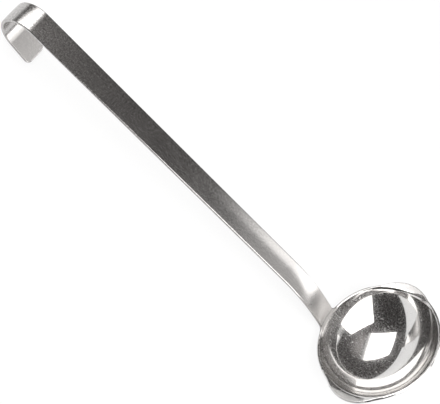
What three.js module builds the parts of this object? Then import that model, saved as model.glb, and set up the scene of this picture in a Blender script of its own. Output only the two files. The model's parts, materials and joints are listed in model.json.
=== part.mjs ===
// Sauce ladle in stainless steel: an oval pressed bowl with two small pouring lips, butt welded to
// a flat strip handle that is bent at the neck and rolled back into a hook at its end.
// Millimetres, +Z up. The ladle lies on a table, on its bowl and on the tail of its hook, with the
// hook towards +X. The origin is on the table, under the middle of the ladle.

import * as THREE from 'three';

const { clamp, degToRad, lerp, smoothstep } = THREE.MathUtils;

// Bowl
const BOWL_LENGTH = 67; // inside, along the handle
const BOWL_WIDTH = 75; // inside, across the handle, between the roots of the lips
const BOWL_DEPTH = 23.5; // inside, from the rim to the bottom
const BOWL_WALL = 1.5;
const RIM_ROUND = 0.4; // rounding of the two edges of the rim
const LIP_REACH = 4; // how far a pouring lip stands out from the oval
const LIP_HEIGHT = 4; // depth below the rim where a lip begins to turn out
const LIP_HALF_ANGLE = degToRad(40); // each way from the middle of a lip

// Handle
const HANDLE_WIDTH = 16;
const HANDLE_THICKNESS = 2;
const HANDLE_LENGTH = 195; // straight stretch between the neck and the hook
const HANDLE_LEAN = degToRad(36.5); // between the bowl's axis and the handle
const EDGE_ROUND = 0.4; // rounding of the four long edges

// Neck
const NECK_WIDTH = 15.8;
const ROOT_RADIUS = 24; // where the strip stands up from the slope of the bowl's wall
const ROOT_TURN = degToRad(9.4);
const NECK_RADIUS = 87; // inside of the neck bend
const NECK_FILLET = 2.5; // where the strip widens into the rim

// Hook
const HOOK_RADIUS = 12.3; // inside of the hook
const HOOK_TURN = degToRad(167.5);
const TAIL_LENGTH = 14.5; // straight stretch after the hook
const TAIL_CORNER = 3; // rounding of the two corners of the tail

// Weld between the rim and the handle
const WELD_HEIGHT = 0.8;
const JOINT_GAP = 0.3; // left on each side of the weld

// Fineness of the facets
const BOWL_STEPS_AROUND = 64;
const BOWL_STEPS_DOWN = 14; // from the bottom to the roots of the lips
const LIP_STEPS = 5;
const ROUND_STEPS = 2; // across a rounded edge
const STRIP_STEPS_ACROSS = 6;
const ROOT_STEPS = 3;
const NECK_STEPS = 12;
const HANDLE_STEPS = 4;
const HOOK_STEPS = 24;
const TAIL_STEPS = 2;
const CORNER_STEPS = 4; // round a fillet of the neck or a corner of the tail
const WELD_STEPS = 3;
const LEAST_STEP = 0.05; // closer cuts across the strip are left out

// Lengthways the bowl is part of a sphere, so its length and depth give the slope of its wall.
const RIM_RADIUS = BOWL_LENGTH / 2;
const RIM_HALF_WIDTH = BOWL_WIDTH / 2;
const SPHERE_RADIUS = (RIM_RADIUS ** 2 + BOWL_DEPTH ** 2) / (2 * BOWL_DEPTH);
const SPHERE_HEIGHT = SPHERE_RADIUS - BOWL_DEPTH; // centre of the sphere above the rim
const OUTER_RADIUS = SPHERE_RADIUS + BOWL_WALL;
const WALL_FLARE = Math.atan2(SPHERE_HEIGHT, RIM_RADIUS); // slope of the wall at the rim

// Distances along the front face of the strip, from the rim to the end of the tail. The strip
// leaves the rim in line with the wall. Its root turns towards its front, and its other bends turn
// towards its back.
const ROOT_END = ROOT_RADIUS * ROOT_TURN;
const NECK_BEND = (NECK_RADIUS + HANDLE_THICKNESS) * (HANDLE_LEAN - WALL_FLARE + ROOT_TURN);
const HOOK_BEND = (HOOK_RADIUS + HANDLE_THICKNESS) * HOOK_TURN;
const WELD_START = JOINT_GAP / Math.cos(WALL_FLARE);
const WELD_END = WELD_START + WELD_HEIGHT / Math.cos(WALL_FLARE);
const STRIP_START = WELD_END + JOINT_GAP / Math.cos(WALL_FLARE);
const NECK_END = ROOT_END + NECK_BEND;
const HOOK_START = NECK_END + HANDLE_LENGTH;
const HOOK_END = HOOK_START + HOOK_BEND;
const STRIP_END = HOOK_END + TAIL_LENGTH;

// Even steps from one value to another, both included.
function spread(from, to, steps) {
  return Array.from({ length: steps + 1 }, (_, i) => lerp(from, to, i / steps));
}

// A quarter of a circle of radius 1, from the side of an edge to its face, as shares of the radius
// in from the side and up to the face.
function quarterRound(steps) {
  return spread(0, Math.PI / 2, steps).map((turn) => ({ inward: 1 - Math.cos(turn), up: Math.sin(turn) }));
}

// Arc of the bowl's section from its bottom up to a height over the rim, with closer steps beside
// the lips.
function bowlArc(radius, height) {
  const angleAt = (z) => Math.acos((SPHERE_HEIGHT - z) / radius);
  const lipRoot = angleAt(-LIP_HEIGHT);
  const angles = [
    ...spread(0, lipRoot, BOWL_STEPS_DOWN),
    ...spread(lipRoot, angleAt(height), LIP_STEPS).slice(1),
  ];
  return angles.map((angle) => (
    new THREE.Vector2(radius * Math.sin(angle), SPHERE_HEIGHT - radius * Math.cos(angle))));
}

// Section of the bowl: up the outside from the axis, over the rounded rim and down the inside.
function bowlSection() {
  const outside = bowlArc(OUTER_RADIUS, -RIM_ROUND);
  const inside = bowlArc(SPHERE_RADIUS, -RIM_ROUND).reverse();
  const outerEdge = outside[outside.length - 1].x;
  const innerEdge = inside[0].x;
  const round = quarterRound(ROUND_STEPS).slice(1);
  const outerRound = round.map(({ inward, up }) => (
    new THREE.Vector2(outerEdge - inward * RIM_ROUND, (up - 1) * RIM_ROUND)));
  const innerRound = round.reverse().map(({ inward, up }) => (
    new THREE.Vector2(innerEdge + inward * RIM_ROUND, (up - 1) * RIM_ROUND)));
  return [...outside, ...outerRound, ...innerRound, ...inside];
}

// How far a point of the round bowl moves out and down with the pouring lip on its side. The wall
// turns out with the lip, so it keeps its thickness.
function lipShift(x, y, z) {
  const fromMiddle = Math.abs(Math.atan2(x, Math.abs(y)));
  const swell = (1 + Math.cos(Math.PI * Math.min(fromMiddle / LIP_HALF_ANGLE, 1))) / 2;
  const rise = Math.max(1 + z / LIP_HEIGHT, 0);
  const slope = Math.tan(WALL_FLARE) + (2 * LIP_REACH * swell * rise) / LIP_HEIGHT;
  const turned = Math.atan(slope) - WALL_FLARE;
  const inside = Math.sqrt(Math.max(SPHERE_RADIUS ** 2 - (SPHERE_HEIGHT - z) ** 2, 0));
  const depth = Math.hypot(x, y) - inside;
  return {
    out: LIP_REACH * swell * rise ** 2 + depth * (Math.cos(turned) - 1),
    down: depth * Math.sin(turned),
  };
}

// The bowl is revolved, stretched to an oval and drawn out into its lips. Its rim lies at Z = 0,
// and its handle side is towards +X.
function bowlGeometry() {
  const geometry = new THREE.LatheGeometry(bowlSection(), BOWL_STEPS_AROUND);
  geometry.rotateX(Math.PI / 2);
  const points = geometry.attributes.position;
  for (let i = 0; i < points.count; i += 1) {
    const [x, y, z] = [points.getX(i), points.getY(i), points.getZ(i)];
    const { out, down } = lipShift(x, y, z);
    points.setXYZ(i, x, (y * BOWL_WIDTH) / BOWL_LENGTH + Math.sign(y) * out, z - down);
  }
  geometry.computeVertexNormals();
  return geometry;
}

// Place of the strip's front face at a distance from the rim, and its heading, measured from the
// bowl's axis towards the back of the handle.
function stripPath(distance) {
  const path = { x: RIM_RADIUS, z: 0, heading: WALL_FLARE };
  const within = (from, to) => clamp(distance, from, to) - from;
  const walk = (length) => {
    path.x += length * Math.sin(path.heading);
    path.z += length * Math.cos(path.heading);
  };
  const bend = (length, radius) => {
    const turned = path.heading + length / radius;
    path.x += radius * (Math.cos(path.heading) - Math.cos(turned));
    path.z += radius * (Math.sin(turned) - Math.sin(path.heading));
    path.heading = turned;
  };
  bend(within(0, ROOT_END), -ROOT_RADIUS);
  bend(within(ROOT_END, NECK_END), NECK_RADIUS + HANDLE_THICKNESS);
  walk(within(NECK_END, HOOK_START));
  bend(within(HOOK_START, HOOK_END), HOOK_RADIUS + HANDLE_THICKNESS);
  walk(within(HOOK_END, STRIP_END));
  return path;
}

// What a rounding takes off, or a fillet adds, at a distance from its end.
function roundingAt(radius, fromEnd) {
  const left = clamp(radius - fromEnd, 0, radius);
  return radius - Math.sqrt(radius ** 2 - left ** 2);
}

// Half the strip's width: a slight taper, with fillets at the rim and round corners at the tail.
function halfWidth(distance) {
  const taper = clamp(distance / HOOK_START, 0, 1);
  const plain = lerp(NECK_WIDTH, HANDLE_WIDTH, taper) / 2;
  return plain + roundingAt(NECK_FILLET, distance) - roundingAt(TAIL_CORNER, STRIP_END - distance);
}

// How far the rim's oval falls back towards the middle of the bowl, to the side of the handle.
function rimFall(across) {
  return RIM_RADIUS * (1 - Math.sqrt(1 - (across / RIM_HALF_WIDTH) ** 2));
}

// One face of a cut across the strip, from its left edge to its right, with the depth of each
// point under the face.
function sectionFace(half) {
  const left = quarterRound(ROUND_STEPS).map(({ inward, up }) => (
    { across: half - inward * EDGE_ROUND, depth: (1 - up) * EDGE_ROUND }));
  const right = left.map(({ across, depth }) => ({ across: -across, depth })).reverse();
  const flat = half - EDGE_ROUND;
  const middle = spread(flat, -flat, STRIP_STEPS_ACROSS).slice(1, -1);
  return [...left, ...middle.map((across) => ({ across, depth: 0 })), ...right];
}

// Ring of points round the strip. At the rim the cut lies in the rim's plane, follows its oval and
// is as thick as its wall. By the end of the neck it is square to the strip, flat and full.
function stripSection(distance) {
  const { x, z, heading } = stripPath(distance);
  const hold = 1 - smoothstep(distance, 0, NECK_END);
  const slope = heading - WALL_FLARE * hold;
  const thickness = lerp(HANDLE_THICKNESS, BOWL_WALL, hold);
  const place = (across, depth) => {
    const back = depth / Math.cos(heading - slope) - hold * rimFall(across);
    return new THREE.Vector3(x + back * Math.cos(slope), across, z - back * Math.sin(slope));
  };
  const face = sectionFace(halfWidth(distance));
  const front = face.map(({ across, depth }) => place(across, depth));
  const rear = face.map(({ across, depth }) => place(across, thickness - depth));
  return [...front, ...rear.reverse()];
}

// Closed body through the cuts at these distances. Each end is closed like a ladder, with rungs
// between the front and the rear of its cut.
function stripGeometry(distances) {
  const rings = distances.map(stripSection);
  const size = rings[0].length;
  const last = (rings.length - 1) * size;
  const index = [];
  for (let start = 0; start < last; start += size) {
    for (let i = 0; i < size; i += 1) {
      const here = start + i;
      const next = start + ((i + 1) % size);
      index.push(here, next, next + size, here, next + size, here + size);
    }
  }
  for (let i = 0; i + 1 < size / 2; i += 1) {
    const [front, frontNext] = [i, i + 1];
    const [rear, rearNext] = [size - 1 - i, size - 2 - i];
    index.push(front, rearNext, frontNext, front, rear, rearNext);
    index.push(last + front, last + frontNext, last + rearNext);
    index.push(last + front, last + rearNext, last + rear);
  }
  const geometry = new THREE.BufferGeometry().setFromPoints(rings.flat());
  geometry.setIndex(index);
  geometry.computeVertexNormals();
  return geometry;
}

// Where the handle is cut across: closer in its fillets, bends and corners.
function handleDistances() {
  const round = quarterRound(CORNER_STEPS);
  const distances = [
    STRIP_START,
    ...round.map(({ up }) => NECK_FILLET * (1 - up)),
    ...spread(0, ROOT_END, ROOT_STEPS),
    ...spread(ROOT_END, NECK_END, NECK_STEPS),
    ...spread(NECK_END, HOOK_START, HANDLE_STEPS),
    ...spread(HOOK_START, HOOK_END, HOOK_STEPS),
    ...spread(HOOK_END, STRIP_END - TAIL_CORNER, TAIL_STEPS),
    ...round.map(({ up }) => STRIP_END - TAIL_CORNER * (1 - up)),
  ];
  const ordered = distances.filter((distance) => distance >= STRIP_START).sort((a, b) => a - b);
  return ordered.filter((distance, i) => i === 0 || distance - ordered[i - 1] > LEAST_STEP);
}

// Turn that lays the ladle down on the outside of its bowl and the end of its tail.
function layingTurn() {
  const tail = stripPath(STRIP_END);
  const toSphere = new THREE.Vector2(-tail.x, SPHERE_HEIGHT - tail.z);
  const level = Math.PI - Math.asin(OUTER_RADIUS / toSphere.length());
  return toSphere.angle() - level;
}

function steel(color, roughness) {
  return new THREE.MeshStandardMaterial({ color, roughness, metalness: 1 });
}

function piece(name, geometry, material) {
  const mesh = new THREE.Mesh(geometry, material);
  mesh.name = name;
  return mesh;
}

const polished = steel(0xc9c7c5, 0.08);
const satin = steel(0x9a9695, 0.35);

const ladle = new THREE.Group();
ladle.add(piece('bowl', bowlGeometry(), polished));
ladle.add(piece('neck_weld', stripGeometry(spread(WELD_START, WELD_END, WELD_STEPS)), satin));
ladle.add(piece('handle', stripGeometry(handleDistances()), satin));
ladle.rotation.y = layingTurn();

const box = new THREE.Box3().setFromObject(ladle, true);
ladle.position.set(-(box.min.x + box.max.x) / 2, 0, -box.min.z);

const part = new THREE.Group();
part.add(ladle);

export default part;
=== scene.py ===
import json
import math

import bpy
import numpy as np
from mathutils import Matrix, Vector


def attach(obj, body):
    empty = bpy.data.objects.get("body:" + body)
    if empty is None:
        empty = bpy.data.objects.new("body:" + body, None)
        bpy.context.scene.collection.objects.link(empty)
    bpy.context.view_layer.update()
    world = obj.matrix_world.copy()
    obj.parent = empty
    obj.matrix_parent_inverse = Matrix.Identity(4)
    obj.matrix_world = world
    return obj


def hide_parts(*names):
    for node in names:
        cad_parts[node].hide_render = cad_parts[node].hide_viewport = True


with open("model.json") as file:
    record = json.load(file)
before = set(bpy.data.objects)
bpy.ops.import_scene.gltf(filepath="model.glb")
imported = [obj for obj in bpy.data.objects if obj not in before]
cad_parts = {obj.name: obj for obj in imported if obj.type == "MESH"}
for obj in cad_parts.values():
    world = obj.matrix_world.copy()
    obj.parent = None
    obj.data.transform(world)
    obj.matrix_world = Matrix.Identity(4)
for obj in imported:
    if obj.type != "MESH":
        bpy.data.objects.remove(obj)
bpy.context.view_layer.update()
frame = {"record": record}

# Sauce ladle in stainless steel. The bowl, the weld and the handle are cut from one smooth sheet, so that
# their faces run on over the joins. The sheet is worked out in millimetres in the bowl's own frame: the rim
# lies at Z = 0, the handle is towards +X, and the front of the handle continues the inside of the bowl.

MM = 0.001

# Bowl, as in the CAD source
BOWL_LENGTH = 67
BOWL_WIDTH = 75
BOWL_DEPTH = 23.5
BOWL_WALL = 1.5
LIP_REACH = 4
LIP_HALF_ANGLE = math.radians(40)

# Handle, neck and hook, as in the CAD source
HANDLE_WIDTH = 16
HANDLE_THICKNESS = 2
HANDLE_LENGTH = 195
HANDLE_LEAN = math.radians(36.5)
NECK_WIDTH = 15.8
ROOT_RADIUS = 24
ROOT_TURN = math.radians(9.4)
NECK_RADIUS = 87
NECK_FILLET = 2.5
HOOK_RADIUS = 12.3
HOOK_TURN = math.radians(167.5)
TAIL_LENGTH = 14.5
TAIL_CORNER = 3

# Finer forms of the sheet
EDGE_ROUND = 0.7
LIP_BEND_RADIUS = 1.8  # of the fold that turns a pouring lip out
LIP_TURN = math.radians(78)  # from the bowl's axis to the flat of a lip
LIP_SPREAD = 0.4  # how soon a lip's fold fades towards its ends
WELD_TOP = 1.4  # where the weld ends, along the front from the rim
DISH_LENGTH = 14  # from the rim to where the strip is no longer dished like the bowl
STRIP_CROWN = 0.24  # how far the edges of the front lie behind its middle

# Fineness of the mesh
BOWL_ROWS = 48  # from the bottom to the roots of the lips
LIP_ROWS = 24
RIM_COLUMNS = 176  # round the free part of the rim
STRIP_COLUMNS = 28
FILLET_STEPS = 8
ROOT_STEPS = 5
NECK_STEPS = 40
HANDLE_STEPS = 70
HOOK_STEPS = 72
TAIL_STEPS = 6
CORNER_STEPS = 8
ROUND_STEPS = 5  # across a rounded edge

# Sphere that the bowl is part of, and distances along the front of the strip
RIM_RADIUS = BOWL_LENGTH / 2
SPHERE_RADIUS = (RIM_RADIUS ** 2 + BOWL_DEPTH ** 2) / (2 * BOWL_DEPTH)
SPHERE_HEIGHT = SPHERE_RADIUS - BOWL_DEPTH
OUTER_RADIUS = SPHERE_RADIUS + BOWL_WALL
WALL_FLARE = math.atan2(SPHERE_HEIGHT, RIM_RADIUS)
LIP_FOLD_HEIGHT = LIP_BEND_RADIUS * (math.sin(LIP_TURN) - math.sin(WALL_FLARE))
LIP_FOLD_REACH = (LIP_BEND_RADIUS * (math.cos(WALL_FLARE) - math.cos(LIP_TURN))
                  - LIP_FOLD_HEIGHT * math.tan(WALL_FLARE))
LIP_SLOPE = math.tan(LIP_TURN) - math.tan(WALL_FLARE)
LIP_HEIGHT = LIP_FOLD_HEIGHT + (LIP_REACH - LIP_FOLD_REACH) / LIP_SLOPE
NECK_BEND_RADIUS = NECK_RADIUS + HANDLE_THICKNESS
HOOK_BEND_RADIUS = HOOK_RADIUS + HANDLE_THICKNESS
ROOT_END = ROOT_RADIUS * ROOT_TURN
NECK_END = ROOT_END + NECK_BEND_RADIUS * (HANDLE_LEAN - WALL_FLARE + ROOT_TURN)
HOOK_START = NECK_END + HANDLE_LENGTH
HOOK_END = HOOK_START + HOOK_BEND_RADIUS * HOOK_TURN
STRIP_END = HOOK_END + TAIL_LENGTH

# Camera
IMAGE_WIDTH = 440
FOCAL_PIXELS = 917.1
SENSOR_WIDTH = 36
CAMERA_PLACE = Vector((0.112224, 0.226763, 0.464676))
CAMERA_AIM = Vector((0.002058, 0.004616, 0.030489))
CAMERA_ROLL = math.radians(65.92)
CLIP_START = 0.01
CLIP_END = 20

# Satin of the strip. Places along it are in millimetres from the rim
SATIN_TONES = ((0.39, 0.38, 0.373), (0.71, 0.695, 0.685))
SATIN_ROUGHNESS = (0.1, 0.22)  # at the neck and at the hook
SATIN_ROUGHENS = (60, HOOK_START)  # where it runs from the one to the other
GROUND_STRIP = (16, 30)  # where the ground zone round the weld ends
GROUND_STRIP_ROUGHNESS = 0.2  # added in that zone
GRAIN_STRETCH = (0.12, 5.0, 1.0)  # draws noise out into streaks along the strip
MOTTLE_SCALE = 0.9
MOTTLE_SETS_IN = (40, 120)
MOTTLE_AT_NECK = 0.25  # contrast, with 1 on the handle
MOTTLE_AT_TAIL = 0.3
MOTTLE_ROUGHNESS = (0.0, 0.04)
PATCH_SCALE = 0.07
PATCH_ROUGHNESS = (-0.01, 0.02)
NOISE_MIDDLE = 0.5
NOISE_RANGE = (0.3, 0.7)  # where most values of a noise lie

# Polish of the bowl, in metres
POLISH_TONES = ((0.72, 0.71, 0.70), (0.79, 0.78, 0.77))
CLOUD_SCALE = 45
HAZE_SCALE = 350
SPECK_SCALE = 3500
SPECK_RANGE = (0.54, 0.62)
SPECK_ROUGHNESS = (0.05, 0.32)  # of the clear polish and of a speck
STAIN_SCALE = 900
STAIN_RANGE = (0.74, 0.8)
STAIN_ROUGHNESS = (0.0, 0.3)
GROUND_BOWL = (0.006, 0.016)  # where the ground zone ends, from the weld
GROUND_BOWL_ROUGHNESS = 0.1
LIP_BRUSHED = (0.0375, 0.039)  # where the brushed lips begin, from the middle plane
LIP_ROUGHNESS = 0.4

# Relief of both finishes
BUMP_STRENGTH = 0.05
BUMP_HEIGHT = 0.02 * MM

# Studio. Directions are zenith and azimuth from the bowl's middle, in degrees, azimuth from +X towards +Y
BOWL_MIDDLE = Vector((-0.128, 0.0, 0.012))
LIGHT_COLOUR = (1.0, 0.99, 0.98, 1)
SOFTBOX_LEVEL = 3
SOFTBOX_RIGHT = [(52.4, -51.4), (73.5, -14.5), (71, 22), (27.3, 11.6)]
SOFTBOX_RIGHT_EDGE = [(52.4, -51.4), (27.3, 11.6), (20.9, 7.7), (48.8, -58.3)]
SOFTBOX_RIGHT_DISTANCE = 0.8
SOFTBOX_EDGE_LEVELS = (0.9, 0.1)
SOFTBOX_LEFT = [(15.3, -103.6), (28.2, 48.3), (69.3, 127.9), (57.5, -166.6)]
SOFTBOX_LEFT_DISTANCE = 0.5

# Far walls: rows of corners from their top to their foot, each with the grey end, the seam and the white end
WALL_ROWS = [
    [(22.5, -139.2), (33.5, -121.7), (44.6, -114.4)],
    [(28.1, -148.0), (37.6, -131.0), (48.3, -122.4)],
    [(50, -166), (54, -150), (62, -130)],
    [(80, -172), (78, -154), (85, -130)],
]
WHITE_WALL_LEVELS = [0.1, 2, 2.5, 4]  # at each row
GREY_WALL_LEVELS = [0.1, 0.6, 0.6, 0.6]
WALL_DISTANCE = 2.4

# Floor, world and the dark tent
FLOOR_SIZE = 12
FLOOR_COLOUR = (0.9, 0.9, 0.9, 1)
FLOOR_WHITE = 0.85  # share of plain white to the camera; the rest takes the ladle's shadow
WORLD_LEVEL = 0.6  # on matt surfaces
WHITE_LEVEL = 1.0
WHITE = (1, 1, 1, 1)
TENT_COLOUR = (1.0, 0.95, 0.93, 1)
TENT_RADIUS = 2.5
TENT_RINGS = 16
TENT_COLUMNS = 48
TENT_TOP = 2  # zenith of the ring round its top face, in degrees
TENT_DARKENS = (0.6, 1.4)  # along Y
TENT_LEVELS = (0.09, 0.05)
ROOF_MIDDLE = Vector((0.85, -0.85, 2.25))
ROOF_FADES = (0.2, 1.3)  # from its middle
ROOF_LEVEL = 0.28


# Faces of the sheet

def lip_shift(x, y, z):
    """How far a point of the round bowl moves out and down where the wall folds out into a pouring lip."""
    from_middle = np.abs(np.arctan2(x, np.abs(y)))
    swell = (1 + np.cos(np.pi * np.minimum(from_middle / LIP_HALF_ANGLE, 1))) / 2
    rise = np.maximum(z + EDGE_ROUND + LIP_HEIGHT * swell ** LIP_SPREAD, 0)
    fold_rise = np.minimum(rise, LIP_FOLD_HEIGHT)
    slope = np.arcsin(math.sin(WALL_FLARE) + fold_rise / LIP_BEND_RADIUS)
    fold = LIP_BEND_RADIUS * (math.cos(WALL_FLARE) - np.cos(slope)) - fold_rise * math.tan(WALL_FLARE)
    out = np.where(swell > 0, fold + (rise - fold_rise) * LIP_SLOPE, 0)
    turned = np.where(swell > 0, slope - WALL_FLARE, 0)
    depth = np.hypot(x, y) - np.sqrt(np.maximum(SPHERE_RADIUS ** 2 - (SPHERE_HEIGHT - z) ** 2, 0))
    return out + depth * (np.cos(turned) - 1), depth * np.sin(turned)


def bowl_angle(radius, depth):
    """Angle from the bottom of the bowl's section to a depth below the rim."""
    return math.acos((SPHERE_HEIGHT + depth) / radius)


def bowl_point(radius, angle, turn):
    """Point of the bowl's inside or outside, by its angle from the bottom and its turn round the axis."""
    x = radius * np.sin(angle) * np.cos(turn)
    y = radius * np.sin(angle) * np.sin(turn)
    z = SPHERE_HEIGHT - radius * np.cos(angle)
    out, down = lip_shift(x, y, z)
    return np.stack([x, y * BOWL_WIDTH / BOWL_LENGTH + np.sign(y) * out, z - down], -1)


def strip_path(distance):
    """Place and heading of the strip's front at distances from the rim."""
    x = RIM_RADIUS + 0 * distance
    z = 0 * distance
    heading = WALL_FLARE + 0 * distance
    stretches = [
        (-EDGE_ROUND, 0, None),
        (0, ROOT_END, -ROOT_RADIUS),
        (ROOT_END, NECK_END, NECK_BEND_RADIUS),
        (NECK_END, HOOK_START, None),
        (HOOK_START, HOOK_END, HOOK_BEND_RADIUS),
        (HOOK_END, STRIP_END, None),
    ]
    for start, end, radius in stretches:
        length = np.clip(distance, start, end) - max(start, 0)
        if radius is None:
            x = x + length * np.sin(heading)
            z = z + length * np.cos(heading)
        else:
            turned = heading + length / radius
            x = x + radius * (np.cos(heading) - np.cos(turned))
            z = z + radius * (np.sin(turned) - np.sin(heading))
            heading = turned
    return x, z, heading


def hold(distance, length):
    """How closely the strip follows the bowl's wall: 1 at the rim, falling to 0 at a distance from it."""
    share = np.clip(distance / length, 0, 1)
    return 1 - share * share * (3 - 2 * share)


def strip_point(side, distance, across):
    """Point of the front (side 0) or the back (side 1) of the strip. At the rim it follows the rim's oval."""
    x, z, heading = strip_path(distance)
    neck = hold(distance, NECK_END)
    dish = hold(distance, DISH_LENGTH)
    slope = heading - WALL_FLARE * neck
    thickness = HANDLE_THICKNESS + (BOWL_WALL - HANDLE_THICKNESS) * neck
    fall = RIM_RADIUS * (1 - np.sqrt(1 - (2 * across / BOWL_WIDTH) ** 2))
    crown = (1 - side) * STRIP_CROWN * (2 * across / HANDLE_WIDTH) ** 2
    back = side * thickness / np.cos(heading - slope) - dish * fall + (1 - dish) * crown
    return np.stack([x + back * np.cos(slope), across, z - back * np.sin(slope)], -1)


def strip_half_width(distance):
    """Half the width of the strip's face, inside its rounded edges."""
    taper = np.clip(distance / HOOK_START, 0, 1)
    half = (NECK_WIDTH + (HANDLE_WIDTH - NECK_WIDTH) * taper) / 2
    fillet = NECK_FILLET + EDGE_ROUND
    corner = TAIL_CORNER - EDGE_ROUND
    into_fillet = np.clip(NECK_FILLET - distance, 0, fillet)
    into_corner = np.clip(distance - (STRIP_END - TAIL_CORNER), 0, corner)
    half = half + NECK_FILLET - np.sqrt(fillet ** 2 - into_fillet ** 2)
    return half - TAIL_CORNER + np.sqrt(corner ** 2 - into_corner ** 2)


def strip_distances():
    """Where the strip is cut across, from the rim to the end of its tail."""
    fillet = np.linspace(0, math.pi / 2, FILLET_STEPS + 1)
    corner = np.linspace(0, math.pi / 2, CORNER_STEPS + 1)[1:]
    return np.concatenate([
        NECK_FILLET - (NECK_FILLET + EDGE_ROUND) * np.cos(fillet),
        np.linspace(NECK_FILLET, ROOT_END, ROOT_STEPS + 1)[1:],
        np.linspace(ROOT_END, NECK_END, NECK_STEPS + 1)[1:],
        np.linspace(NECK_END, HOOK_START, HANDLE_STEPS + 1)[1:],
        np.linspace(HOOK_START, HOOK_END, HOOK_STEPS + 1)[1:],
        np.linspace(HOOK_END, STRIP_END - TAIL_CORNER, TAIL_STEPS + 1)[1:],
        STRIP_END - TAIL_CORNER + (TAIL_CORNER - EDGE_ROUND) * np.sin(corner),
    ])


def unit(vectors):
    return vectors / np.linalg.norm(vectors, axis=-1, keepdims=True)


def normals_of(surface, first, second, step=1e-4):
    """Normals of a surface given as a function of two parameters."""
    along_first = surface(first + step, second) - surface(first - step, second)
    along_second = surface(first, second + step) - surface(first, second - step)
    return unit(np.cross(along_first, along_second))


# The sheet as one mesh, and the pieces cut from it

class Sheet:
    """Vertices of the whole sheet, with their normals and their places along and across the grain."""

    def __init__(self):
        self.points = np.zeros((0, 3))
        self.normals = np.zeros((0, 3))
        self.grain = np.zeros((0, 2))
        self.faces = {"bowl": [], "neck_weld": [], "handle": []}
        self.cuts = {"bowl": [], "neck_weld": [], "handle": []}

    def add(self, points, normals, grain):
        """Adds a grid of vertices and returns their numbers in the same layout."""
        first = len(self.points)
        self.points = np.concatenate([self.points, points.reshape(-1, 3)])
        self.normals = np.concatenate([self.normals, normals.reshape(-1, 3)])
        self.grain = np.concatenate([self.grain, grain.reshape(-1, 2)])
        return np.arange(first, len(self.points)).reshape(points.shape[:-1])


def quads(grid, flip=False):
    """Faces of a grid of vertex numbers."""
    corners = [grid[:-1, :-1], grid[:-1, 1:], grid[1:, 1:], grid[1:, :-1]]
    if flip:
        corners.reverse()
    return np.stack([c.ravel() for c in corners], -1).tolist()


def add_side(sheet, side, distances, weld_row):
    """Adds the front or the back of the sheet, and returns its grids of the bowl and of the strip."""
    radius = (SPHERE_RADIUS, OUTER_RADIUS)[side]
    sign = (1, -1)[side]
    shares = np.linspace(-1, 1, STRIP_COLUMNS + 1)
    across = strip_half_width(distances)[:, None] * shares
    along = distances[:, None] + 0 * shares
    rim_half = math.sqrt(SPHERE_RADIUS ** 2 - (SPHERE_HEIGHT + EDGE_ROUND) ** 2) * BOWL_WIDTH / BOWL_LENGTH
    joined = np.arcsin(across[0] / rim_half)
    free = np.linspace(joined[-1], 2 * math.pi + joined[0], RIM_COLUMNS + 1)[1:-1]
    lip_root = bowl_angle(radius, LIP_HEIGHT + EDGE_ROUND)
    top = bowl_angle(radius, EDGE_ROUND)
    angles = np.concatenate([
        np.linspace(0, lip_root, BOWL_ROWS + 1)[1:], np.linspace(lip_root, top, LIP_ROWS + 1)[1:]])
    rows, turns = np.meshgrid(angles, np.concatenate([joined, free]), indexing="ij")

    def bowl(angle, turn):
        return bowl_point(radius, angle, turn)

    def strip(distance, width):
        return strip_point(side, distance, width)

    bowl_grid = sheet.add(
        bowl(rows, turns), sign * normals_of(bowl, rows, turns), np.stack([rows, turns], -1))
    bottom = sheet.add(
        np.array([[0, 0, SPHERE_HEIGHT - radius]]), np.array([[0, 0, sign]]), np.zeros((1, 2)))[0]
    strip_grid = sheet.add(
        strip(along[1:], across[1:]), sign * normals_of(strip, along[1:], across[1:]),
        np.stack([along[1:], across[1:]], -1))
    strip_grid = np.concatenate([bowl_grid[-1:, :STRIP_COLUMNS + 1], strip_grid])
    ring = np.concatenate([bowl_grid, bowl_grid[:, :1]], 1)
    fan = np.stack([np.full(len(ring[0]) - 1, bottom), ring[0, :-1], ring[0, 1:]], -1)
    sheet.faces["bowl"] += quads(ring, flip=side == 0)
    sheet.faces["bowl"] += (fan if side == 0 else fan[:, ::-1]).tolist()
    sheet.faces["neck_weld"] += quads(strip_grid[:weld_row + 1], flip=side == 0)
    sheet.faces["handle"] += quads(strip_grid[weld_row:], flip=side == 0)
    return bowl_grid, strip_grid


def edge_loop(bowl_grid, strip_grid):
    """Vertices round the sheet's edge: the free rim, one edge of the strip, its end and its other edge."""
    rim = bowl_grid[-1, STRIP_COLUMNS:]
    return np.concatenate([rim, strip_grid[:-1, 0], strip_grid[-1], strip_grid[-2:0:-1, -1]])


def add_edge(sheet, front_loop, back_loop):
    """Adds the rounded edge between the front and the back, and returns its grid."""
    front = sheet.points[front_loop]
    back = sheet.points[back_loop]
    inward = unit(back - front)
    outward = unit(np.cross(inward, np.roll(front, -1, 0) - np.roll(front, 1, 0)))
    turns = np.linspace(0, math.pi / 2, ROUND_STEPS + 1)[1:]
    columns, normals = [], []
    for face, depth, order in ((front, inward, turns), (back, -inward, turns[::-1])):
        for turn in order:
            columns.append(face + EDGE_ROUND * (outward * math.sin(turn) + depth * (1 - math.cos(turn))))
            normals.append(outward * math.sin(turn) - depth * math.cos(turn))
    grain = np.repeat(sheet.grain[front_loop][:, None], len(columns), 1)
    middle = sheet.add(np.stack(columns, 1), np.stack(normals, 1), grain)
    return np.concatenate([front_loop[:, None], middle, back_loop[:, None]], 1)


def add_cut(sheet, below, above, front_row, back_row, first_edge, last_edge):
    """Closes the piece below a cut across the strip and the piece above it."""
    ladder = quads(np.stack([front_row, back_row]), flip=True)
    faces = ladder + [first_edge[::-1].tolist(), last_edge.tolist()]
    sheet.cuts[above] += faces
    sheet.cuts[below] += [face[::-1] for face in faces]


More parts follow.
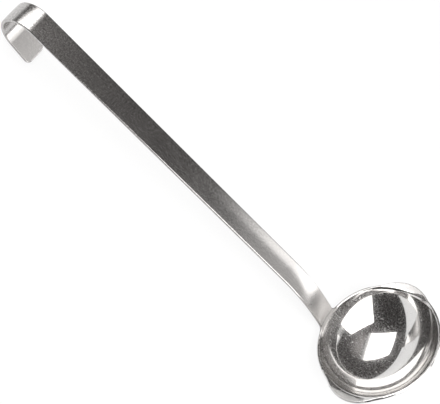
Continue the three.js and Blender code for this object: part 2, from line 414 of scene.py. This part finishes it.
def build_sheet():
    """The whole ladle as one sheet, cut on both sides of the weld."""
    sheet = Sheet()
    distances = strip_distances()
    weld_row = int(np.searchsorted(distances, WELD_TOP))
    (bowl_front, strip_front), (bowl_back, strip_back) = (
        add_side(sheet, side, distances, weld_row) for side in (0, 1))
    edge = add_edge(sheet, edge_loop(bowl_front, strip_front), edge_loop(bowl_back, strip_back))
    edge = np.concatenate([edge, edge[:1]])
    weld_from = RIM_COLUMNS + weld_row
    weld_to = len(edge) - 1 - weld_row
    sheet.faces["bowl"] += quads(edge[:RIM_COLUMNS + 1])
    sheet.faces["neck_weld"] += quads(edge[RIM_COLUMNS:weld_from + 1]) + quads(edge[weld_to:])
    sheet.faces["handle"] += quads(edge[weld_from:weld_to + 1])
    add_cut(sheet, "bowl", "neck_weld", strip_front[0], strip_back[0], edge[RIM_COLUMNS], edge[-1])
    add_cut(sheet, "neck_weld", "handle", strip_front[weld_row], strip_back[weld_row],
            edge[weld_from], edge[weld_to])
    return sheet


def placement():
    """From the bowl's frame to the part's frame, by the handle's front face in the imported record."""
    mount = next(m for m in frame["record"]["mounts"] if m["name"] == "handle_front")
    axis = mount["axis"]
    turn = Matrix.Rotation(math.atan2(axis[2], -axis[0]) - HANDLE_LEAN, 4, "Y")
    middle = strip_point(0, np.array(NECK_END + HANDLE_LENGTH / 2), np.array(0.0)) * MM
    return Matrix.Translation(Vector(mount["pos_m"]) - turn @ Vector(middle)) @ turn


def piece_mesh(sheet, name, place):
    """Mesh of one piece of the sheet, with the sheet's normals, flat cuts and the grain as its UV map."""
    faces, cuts = sheet.faces[name], sheet.cuts[name]
    used = np.unique(np.concatenate([np.concatenate(faces), np.concatenate(cuts)]))
    number = np.zeros(len(sheet.points), int)
    number[used] = np.arange(len(used))
    mesh = bpy.data.meshes.new(name + "_sheet")
    mesh.from_pydata(sheet.points[used] * MM, [], [number[face].tolist() for face in faces + cuts])
    mesh.transform(place)
    mesh.polygons.foreach_set("use_smooth", np.ones(len(mesh.polygons), bool))
    turn = np.array(place.to_3x3())
    corners = np.concatenate(faces)
    normals = list(map(tuple, sheet.normals[corners] @ turn.T))
    for face in mesh.polygons[len(faces):]:
        normals += [tuple(face.normal)] * len(face.vertices)
    mesh.normals_split_custom_set(normals)
    grain = mesh.uv_layers.new(name="grain")
    grain.uv.foreach_set("vector", sheet.grain[np.concatenate([corners, np.concatenate(cuts)])].ravel())
    return mesh


def make_piece(sheet, name, material, place):
    """One piece of the sheet as an object that stands for its CAD node."""
    mesh = piece_mesh(sheet, name, place)
    mesh.materials.append(material)
    piece = bpy.data.objects.new(name + "_steel", mesh)
    bpy.context.scene.collection.objects.link(piece)
    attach(piece, "root")
    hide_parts(name)


# Materials

class Nodes:
    """A new material, with short ways to add its nodes and links."""

    def __init__(self, name):
        self.material = bpy.data.materials.new(name)
        self.material.use_nodes = True
        self.tree = self.material.node_tree
        self.tree.nodes.clear()

    def add(self, kind, links=(), values=(), **settings):
        """Adds a node, with links and fixed values for its inputs and with its own settings."""
        node = self.tree.nodes.new("ShaderNode" + kind)
        for key, value in settings.items():
            setattr(node, key, value)
        for key, value in dict(values).items():
            node.inputs[key].default_value = value
        for key, source in dict(links).items():
            self.tree.links.new(source, node.inputs[key])
        return node

    def math(self, operation, first, second):
        """Sum, product or the larger of two linked values."""
        return self.add("Math", {0: first, 1: second}, operation=operation).outputs[0]

    def span(self, value, over, levels, kind="LINEAR"):
        """Value that runs between two levels while another runs over a stretch."""
        limits = {1: over[0], 2: over[1], 3: levels[0], 4: levels[1]}
        return self.add("MapRange", {"Value": value}, limits, interpolation_type=kind).outputs[0]

    def noise(self, place, scale, detail, roughness=0.5):
        settings = {"Scale": scale, "Detail": detail, "Roughness": roughness}
        return self.add("TexNoise", {"Vector": place}, settings).outputs["Fac"]

    def tone(self, value, tones, over=(0, 1)):
        """Colour that runs between two tones while a value runs over a stretch."""
        ramp = self.add("ValToRGB", {"Fac": value})
        for element, position, colour in zip(ramp.color_ramp.elements, over, tones):
            element.position = position
            element.color = (*colour, 1)
        return ramp.outputs["Color"]

    def distance(self, place, middle):
        return self.add("VectorMath", {0: place}, {1: middle}, operation="DISTANCE").outputs["Value"]

    def metal(self, colour, rough, height):
        """Finishes the material as bare metal."""
        relief = {"Strength": BUMP_STRENGTH, "Distance": BUMP_HEIGHT}
        bump = self.add("Bump", {"Height": height}, relief).outputs[0]
        links = {"Base Color": colour, "Roughness": rough, "Normal": bump}
        return self.finish(self.add("BsdfPrincipled", links, {"Metallic": 1.0}).outputs[0])

    def finish(self, shader):
        self.add("OutputMaterial", {"Surface": shader})
        return self.material


def satin_steel():
    """Satin strip: fine grain along it, mottled by the tumbling drum, and dull where the weld was ground."""
    n = Nodes("satin_steel")
    grain = n.add("UVMap", uv_map="grain").outputs["UV"]
    drawn_out = n.add("VectorMath", {0: grain}, {1: GRAIN_STRETCH}, operation="MULTIPLY").outputs[0]
    streaks = n.noise(drawn_out, 1, 3)
    mottle = n.noise(grain, MOTTLE_SCALE, 4, 0.6)
    patches = n.noise(grain, PATCH_SCALE, 2)
    along = n.add("SeparateXYZ", {0: grain}).outputs["X"]
    from_neck = n.span(along, MOTTLE_SETS_IN, (MOTTLE_AT_NECK, 1))
    to_tail = n.span(along, (HOOK_START, HOOK_END), (1, MOTTLE_AT_TAIL))
    contrast = n.math("MULTIPLY", from_neck, to_tail)
    shade = n.add("Mix", {0: contrast, 3: mottle}, {2: NOISE_MIDDLE}).outputs[0]
    tone = n.tone(shade, SATIN_TONES, NOISE_RANGE)
    dull = n.span(along, SATIN_ROUGHENS, SATIN_ROUGHNESS)
    ground = n.span(along, GROUND_STRIP, (GROUND_STRIP_ROUGHNESS, 0))
    fine = n.span(mottle, NOISE_RANGE, MOTTLE_ROUGHNESS)
    wide = n.span(patches, NOISE_RANGE, PATCH_ROUGHNESS)
    worn = n.math("ADD", dull, ground)
    uneven = n.math("ADD", fine, wide)
    return n.metal(tone, n.math("ADD", worn, uneven), n.math("ADD", streaks, mottle))


def polished_steel(weld):
    """Mirror polish with specks and stains, dull round the ground weld and brushed on the lips."""
    n = Nodes("polished_steel")
    place = n.add("TexCoord").outputs["Object"]
    haze = n.noise(place, HAZE_SCALE, 4)
    tone = n.tone(n.noise(place, CLOUD_SCALE, 2), POLISH_TONES)
    specks = n.span(n.noise(place, SPECK_SCALE, 2), SPECK_RANGE, SPECK_ROUGHNESS)
    stains = n.span(n.noise(place, STAIN_SCALE, 0), STAIN_RANGE, STAIN_ROUGHNESS)
    from_weld = n.distance(place, weld)
    ground = n.span(from_weld, GROUND_BOWL, (GROUND_BOWL_ROUGHNESS, 0), "SMOOTHSTEP")
    sideways = n.add("SeparateXYZ", {0: place}).outputs["Y"]
    from_middle = n.add("Math", {0: sideways}, operation="ABSOLUTE").outputs[0]
    brushed = n.span(from_middle, LIP_BRUSHED, (0, LIP_ROUGHNESS))
    polish = n.math("ADD", specks, stains)
    worn = n.math("ADD", ground, brushed)
    return n.metal(tone, n.math("ADD", polish, worn), haze)


# Studio

def direction(zenith, azimuth):
    """Unit vector at an angle from straight up, turned from +X towards +Y, in degrees."""
    tilt = math.radians(zenith)
    turn = math.radians(azimuth)
    return Vector((math.sin(tilt) * math.cos(turn), math.sin(tilt) * math.sin(turn), math.cos(tilt)))


def stage_mesh(name, points, faces, material):
    """Mesh of the studio, which isn't part of the ladle."""
    mesh = bpy.data.meshes.new(name)
    mesh.from_pydata(points, [], faces)
    mesh.materials.append(material)
    item = bpy.data.objects.new(name, mesh)
    bpy.context.scene.collection.objects.link(item)
    return item


def studio_light():
    """Light whose strength is set at the corners of each panel."""
    n = Nodes("studio_light")
    strength = n.add("Attribute", attribute_name="strength").outputs["Fac"]
    shader = n.add("Emission", {"Strength": strength}, {"Color": LIGHT_COLOUR})
    return n.finish(shader.outputs[0])


def panel(name, light, distance, corners, start, end):
    """Panel that the camera doesn't see. Its strength runs from its first two corners to its last two."""
    points = [BOWL_MIDDLE + direction(zenith, azimuth) * distance for zenith, azimuth in corners]
    made = stage_mesh(name, points, [(0, 1, 2, 3)], light)
    strength = made.data.attributes.new("strength", "FLOAT", "POINT")
    strength.data.foreach_set("value", [start, start, end, end])
    made.visible_camera = False


def make_softboxes(light):
    """Two softboxes, which show in the bowl as two windows. The right one has a soft edge."""
    panel("softbox_right", light, SOFTBOX_RIGHT_DISTANCE, SOFTBOX_RIGHT, SOFTBOX_LEVEL, SOFTBOX_LEVEL)
    panel("softbox_right_edge", light, SOFTBOX_RIGHT_DISTANCE, SOFTBOX_RIGHT_EDGE, *SOFTBOX_EDGE_LEVELS)
    panel("softbox_left", light, SOFTBOX_LEFT_DISTANCE, SOFTBOX_LEFT, SOFTBOX_LEVEL, SOFTBOX_LEVEL)


def make_walls(light):
    """A white and a grey wall far behind the bowl, side by side, which show in the neck of the handle."""
    for name, column, levels in (("white_wall", 1, WHITE_WALL_LEVELS), ("grey_wall", 0, GREY_WALL_LEVELS)):
        for row, ending in enumerate(("_edge", "", "_foot")):
            upper = WALL_ROWS[row]
            lower = WALL_ROWS[row + 1]
            corners = [upper[column], upper[column + 1], lower[column + 1], lower[column]]
            panel(name + ending, light, WALL_DISTANCE, corners, levels[row], levels[row + 1])


def make_floor():
    """Pale floor: white to the camera and in the steel, with the ladle's shadow."""
    n = Nodes("floor_white")
    path = n.add("LightPath").outputs
    in_steel = n.math("MAXIMUM", path["Is Glossy Ray"], path["Is Transmission Ray"])
    matt = n.add("BsdfDiffuse", values={"Color": FLOOR_COLOUR}).outputs[0]
    white = n.add("Emission", values={"Color": WHITE, "Strength": WHITE_LEVEL}).outputs[0]
    to_camera = n.add("Math", {0: path["Is Camera Ray"]}, {1: FLOOR_WHITE}, operation="MULTIPLY").outputs[0]
    share = n.math("MAXIMUM", in_steel, to_camera)
    shader = n.add("MixShader", {0: share, 1: matt, 2: white})
    half = FLOOR_SIZE / 2
    corners = [(-half, -half, 0), (half, -half, 0), (half, half, 0), (-half, half, 0)]
    stage_mesh("floor", corners, [(0, 1, 2, 3)], n.finish(shader.outputs[0]))


def make_tent():
    """Dark room round the ladle, which only its steel sees: darkest at +Y, with a dim light on its roof."""
    n = Nodes("tent_dark")
    place = n.add("NewGeometry").outputs["Position"]
    y = n.add("SeparateXYZ", {0: place}).outputs["Y"]
    sides = n.span(y, TENT_DARKENS, TENT_LEVELS, "SMOOTHSTEP")
    roof = n.span(n.distance(place, ROOF_MIDDLE), ROOF_FADES, (ROOF_LEVEL, 0), "SMOOTHSTEP")
    level = n.math("ADD", sides, roof)
    shader = n.add("Emission", {"Strength": level}, {"Color": TENT_COLOUR})
    material = n.finish(shader.outputs[0])
    zeniths = [TENT_TOP + (90 - TENT_TOP) * i / TENT_RINGS for i in range(TENT_RINGS + 1)]
    azimuths = [360 * j / TENT_COLUMNS for j in range(TENT_COLUMNS)]
    points = [direction(zenith, azimuth) * TENT_RADIUS for zenith in zeniths for azimuth in azimuths]
    grid = np.arange(len(points)).reshape(len(zeniths), len(azimuths))
    faces = quads(np.concatenate([grid, grid[:, :1]], 1)) + [grid[0].tolist()]
    tent = stage_mesh("tent", points, faces, material)
    tent.visible_camera = False
    tent.visible_diffuse = False
    tent.visible_shadow = False


def make_world():
    """White world: in full to the camera and in reflections, and dimmer as light on matt surfaces."""
    world = bpy.data.worlds.new("studio")
    bpy.context.scene.world = world
    world.use_nodes = True
    tree = world.node_tree
    tree.nodes.clear()
    path = tree.nodes.new("ShaderNodeLightPath")
    seen = tree.nodes.new("ShaderNodeMath")
    seen.operation = "MAXIMUM"
    tree.links.new(path.outputs["Is Camera Ray"], seen.inputs[0])
    tree.links.new(path.outputs["Is Glossy Ray"], seen.inputs[1])
    level = tree.nodes.new("ShaderNodeMapRange")
    level.inputs["To Min"].default_value = WORLD_LEVEL
    level.inputs["To Max"].default_value = WHITE_LEVEL
    tree.links.new(seen.outputs[0], level.inputs["Value"])
    background = tree.nodes.new("ShaderNodeBackground")
    tree.links.new(level.outputs[0], background.inputs["Strength"])
    background.inputs["Color"].default_value = WHITE
    output = tree.nodes.new("ShaderNodeOutputWorld")
    tree.links.new(background.outputs[0], output.inputs["Surface"])


def make_camera():
    """Camera at the photograph's viewing angle."""
    camera = bpy.data.cameras.new("camera")
    camera.sensor_width = SENSOR_WIDTH
    camera.lens = FOCAL_PIXELS / IMAGE_WIDTH * SENSOR_WIDTH
    camera.clip_start = CLIP_START
    camera.clip_end = CLIP_END
    holder = bpy.data.objects.new("camera", camera)
    bpy.context.scene.collection.objects.link(holder)
    look = (CAMERA_AIM - CAMERA_PLACE).to_track_quat("-Z", "Y").to_matrix().to_4x4()
    holder.matrix_world = Matrix.Translation(CAMERA_PLACE) @ look @ Matrix.Rotation(CAMERA_ROLL, 4, "Z")
    bpy.context.scene.camera = holder


make_camera()
sheet = build_sheet()
place = placement()
satin = satin_steel()
polish = polished_steel(place @ Vector((RIM_RADIUS * MM, 0, 0)))
make_piece(sheet, "bowl", polish, place)
make_piece(sheet, "neck_weld", satin, place)
make_piece(sheet, "handle", satin, place)

make_world()
make_floor()
make_tent()
light = studio_light()
make_softboxes(light)
make_walls(light)
bpy.context.scene.view_settings.view_transform = "Standard"
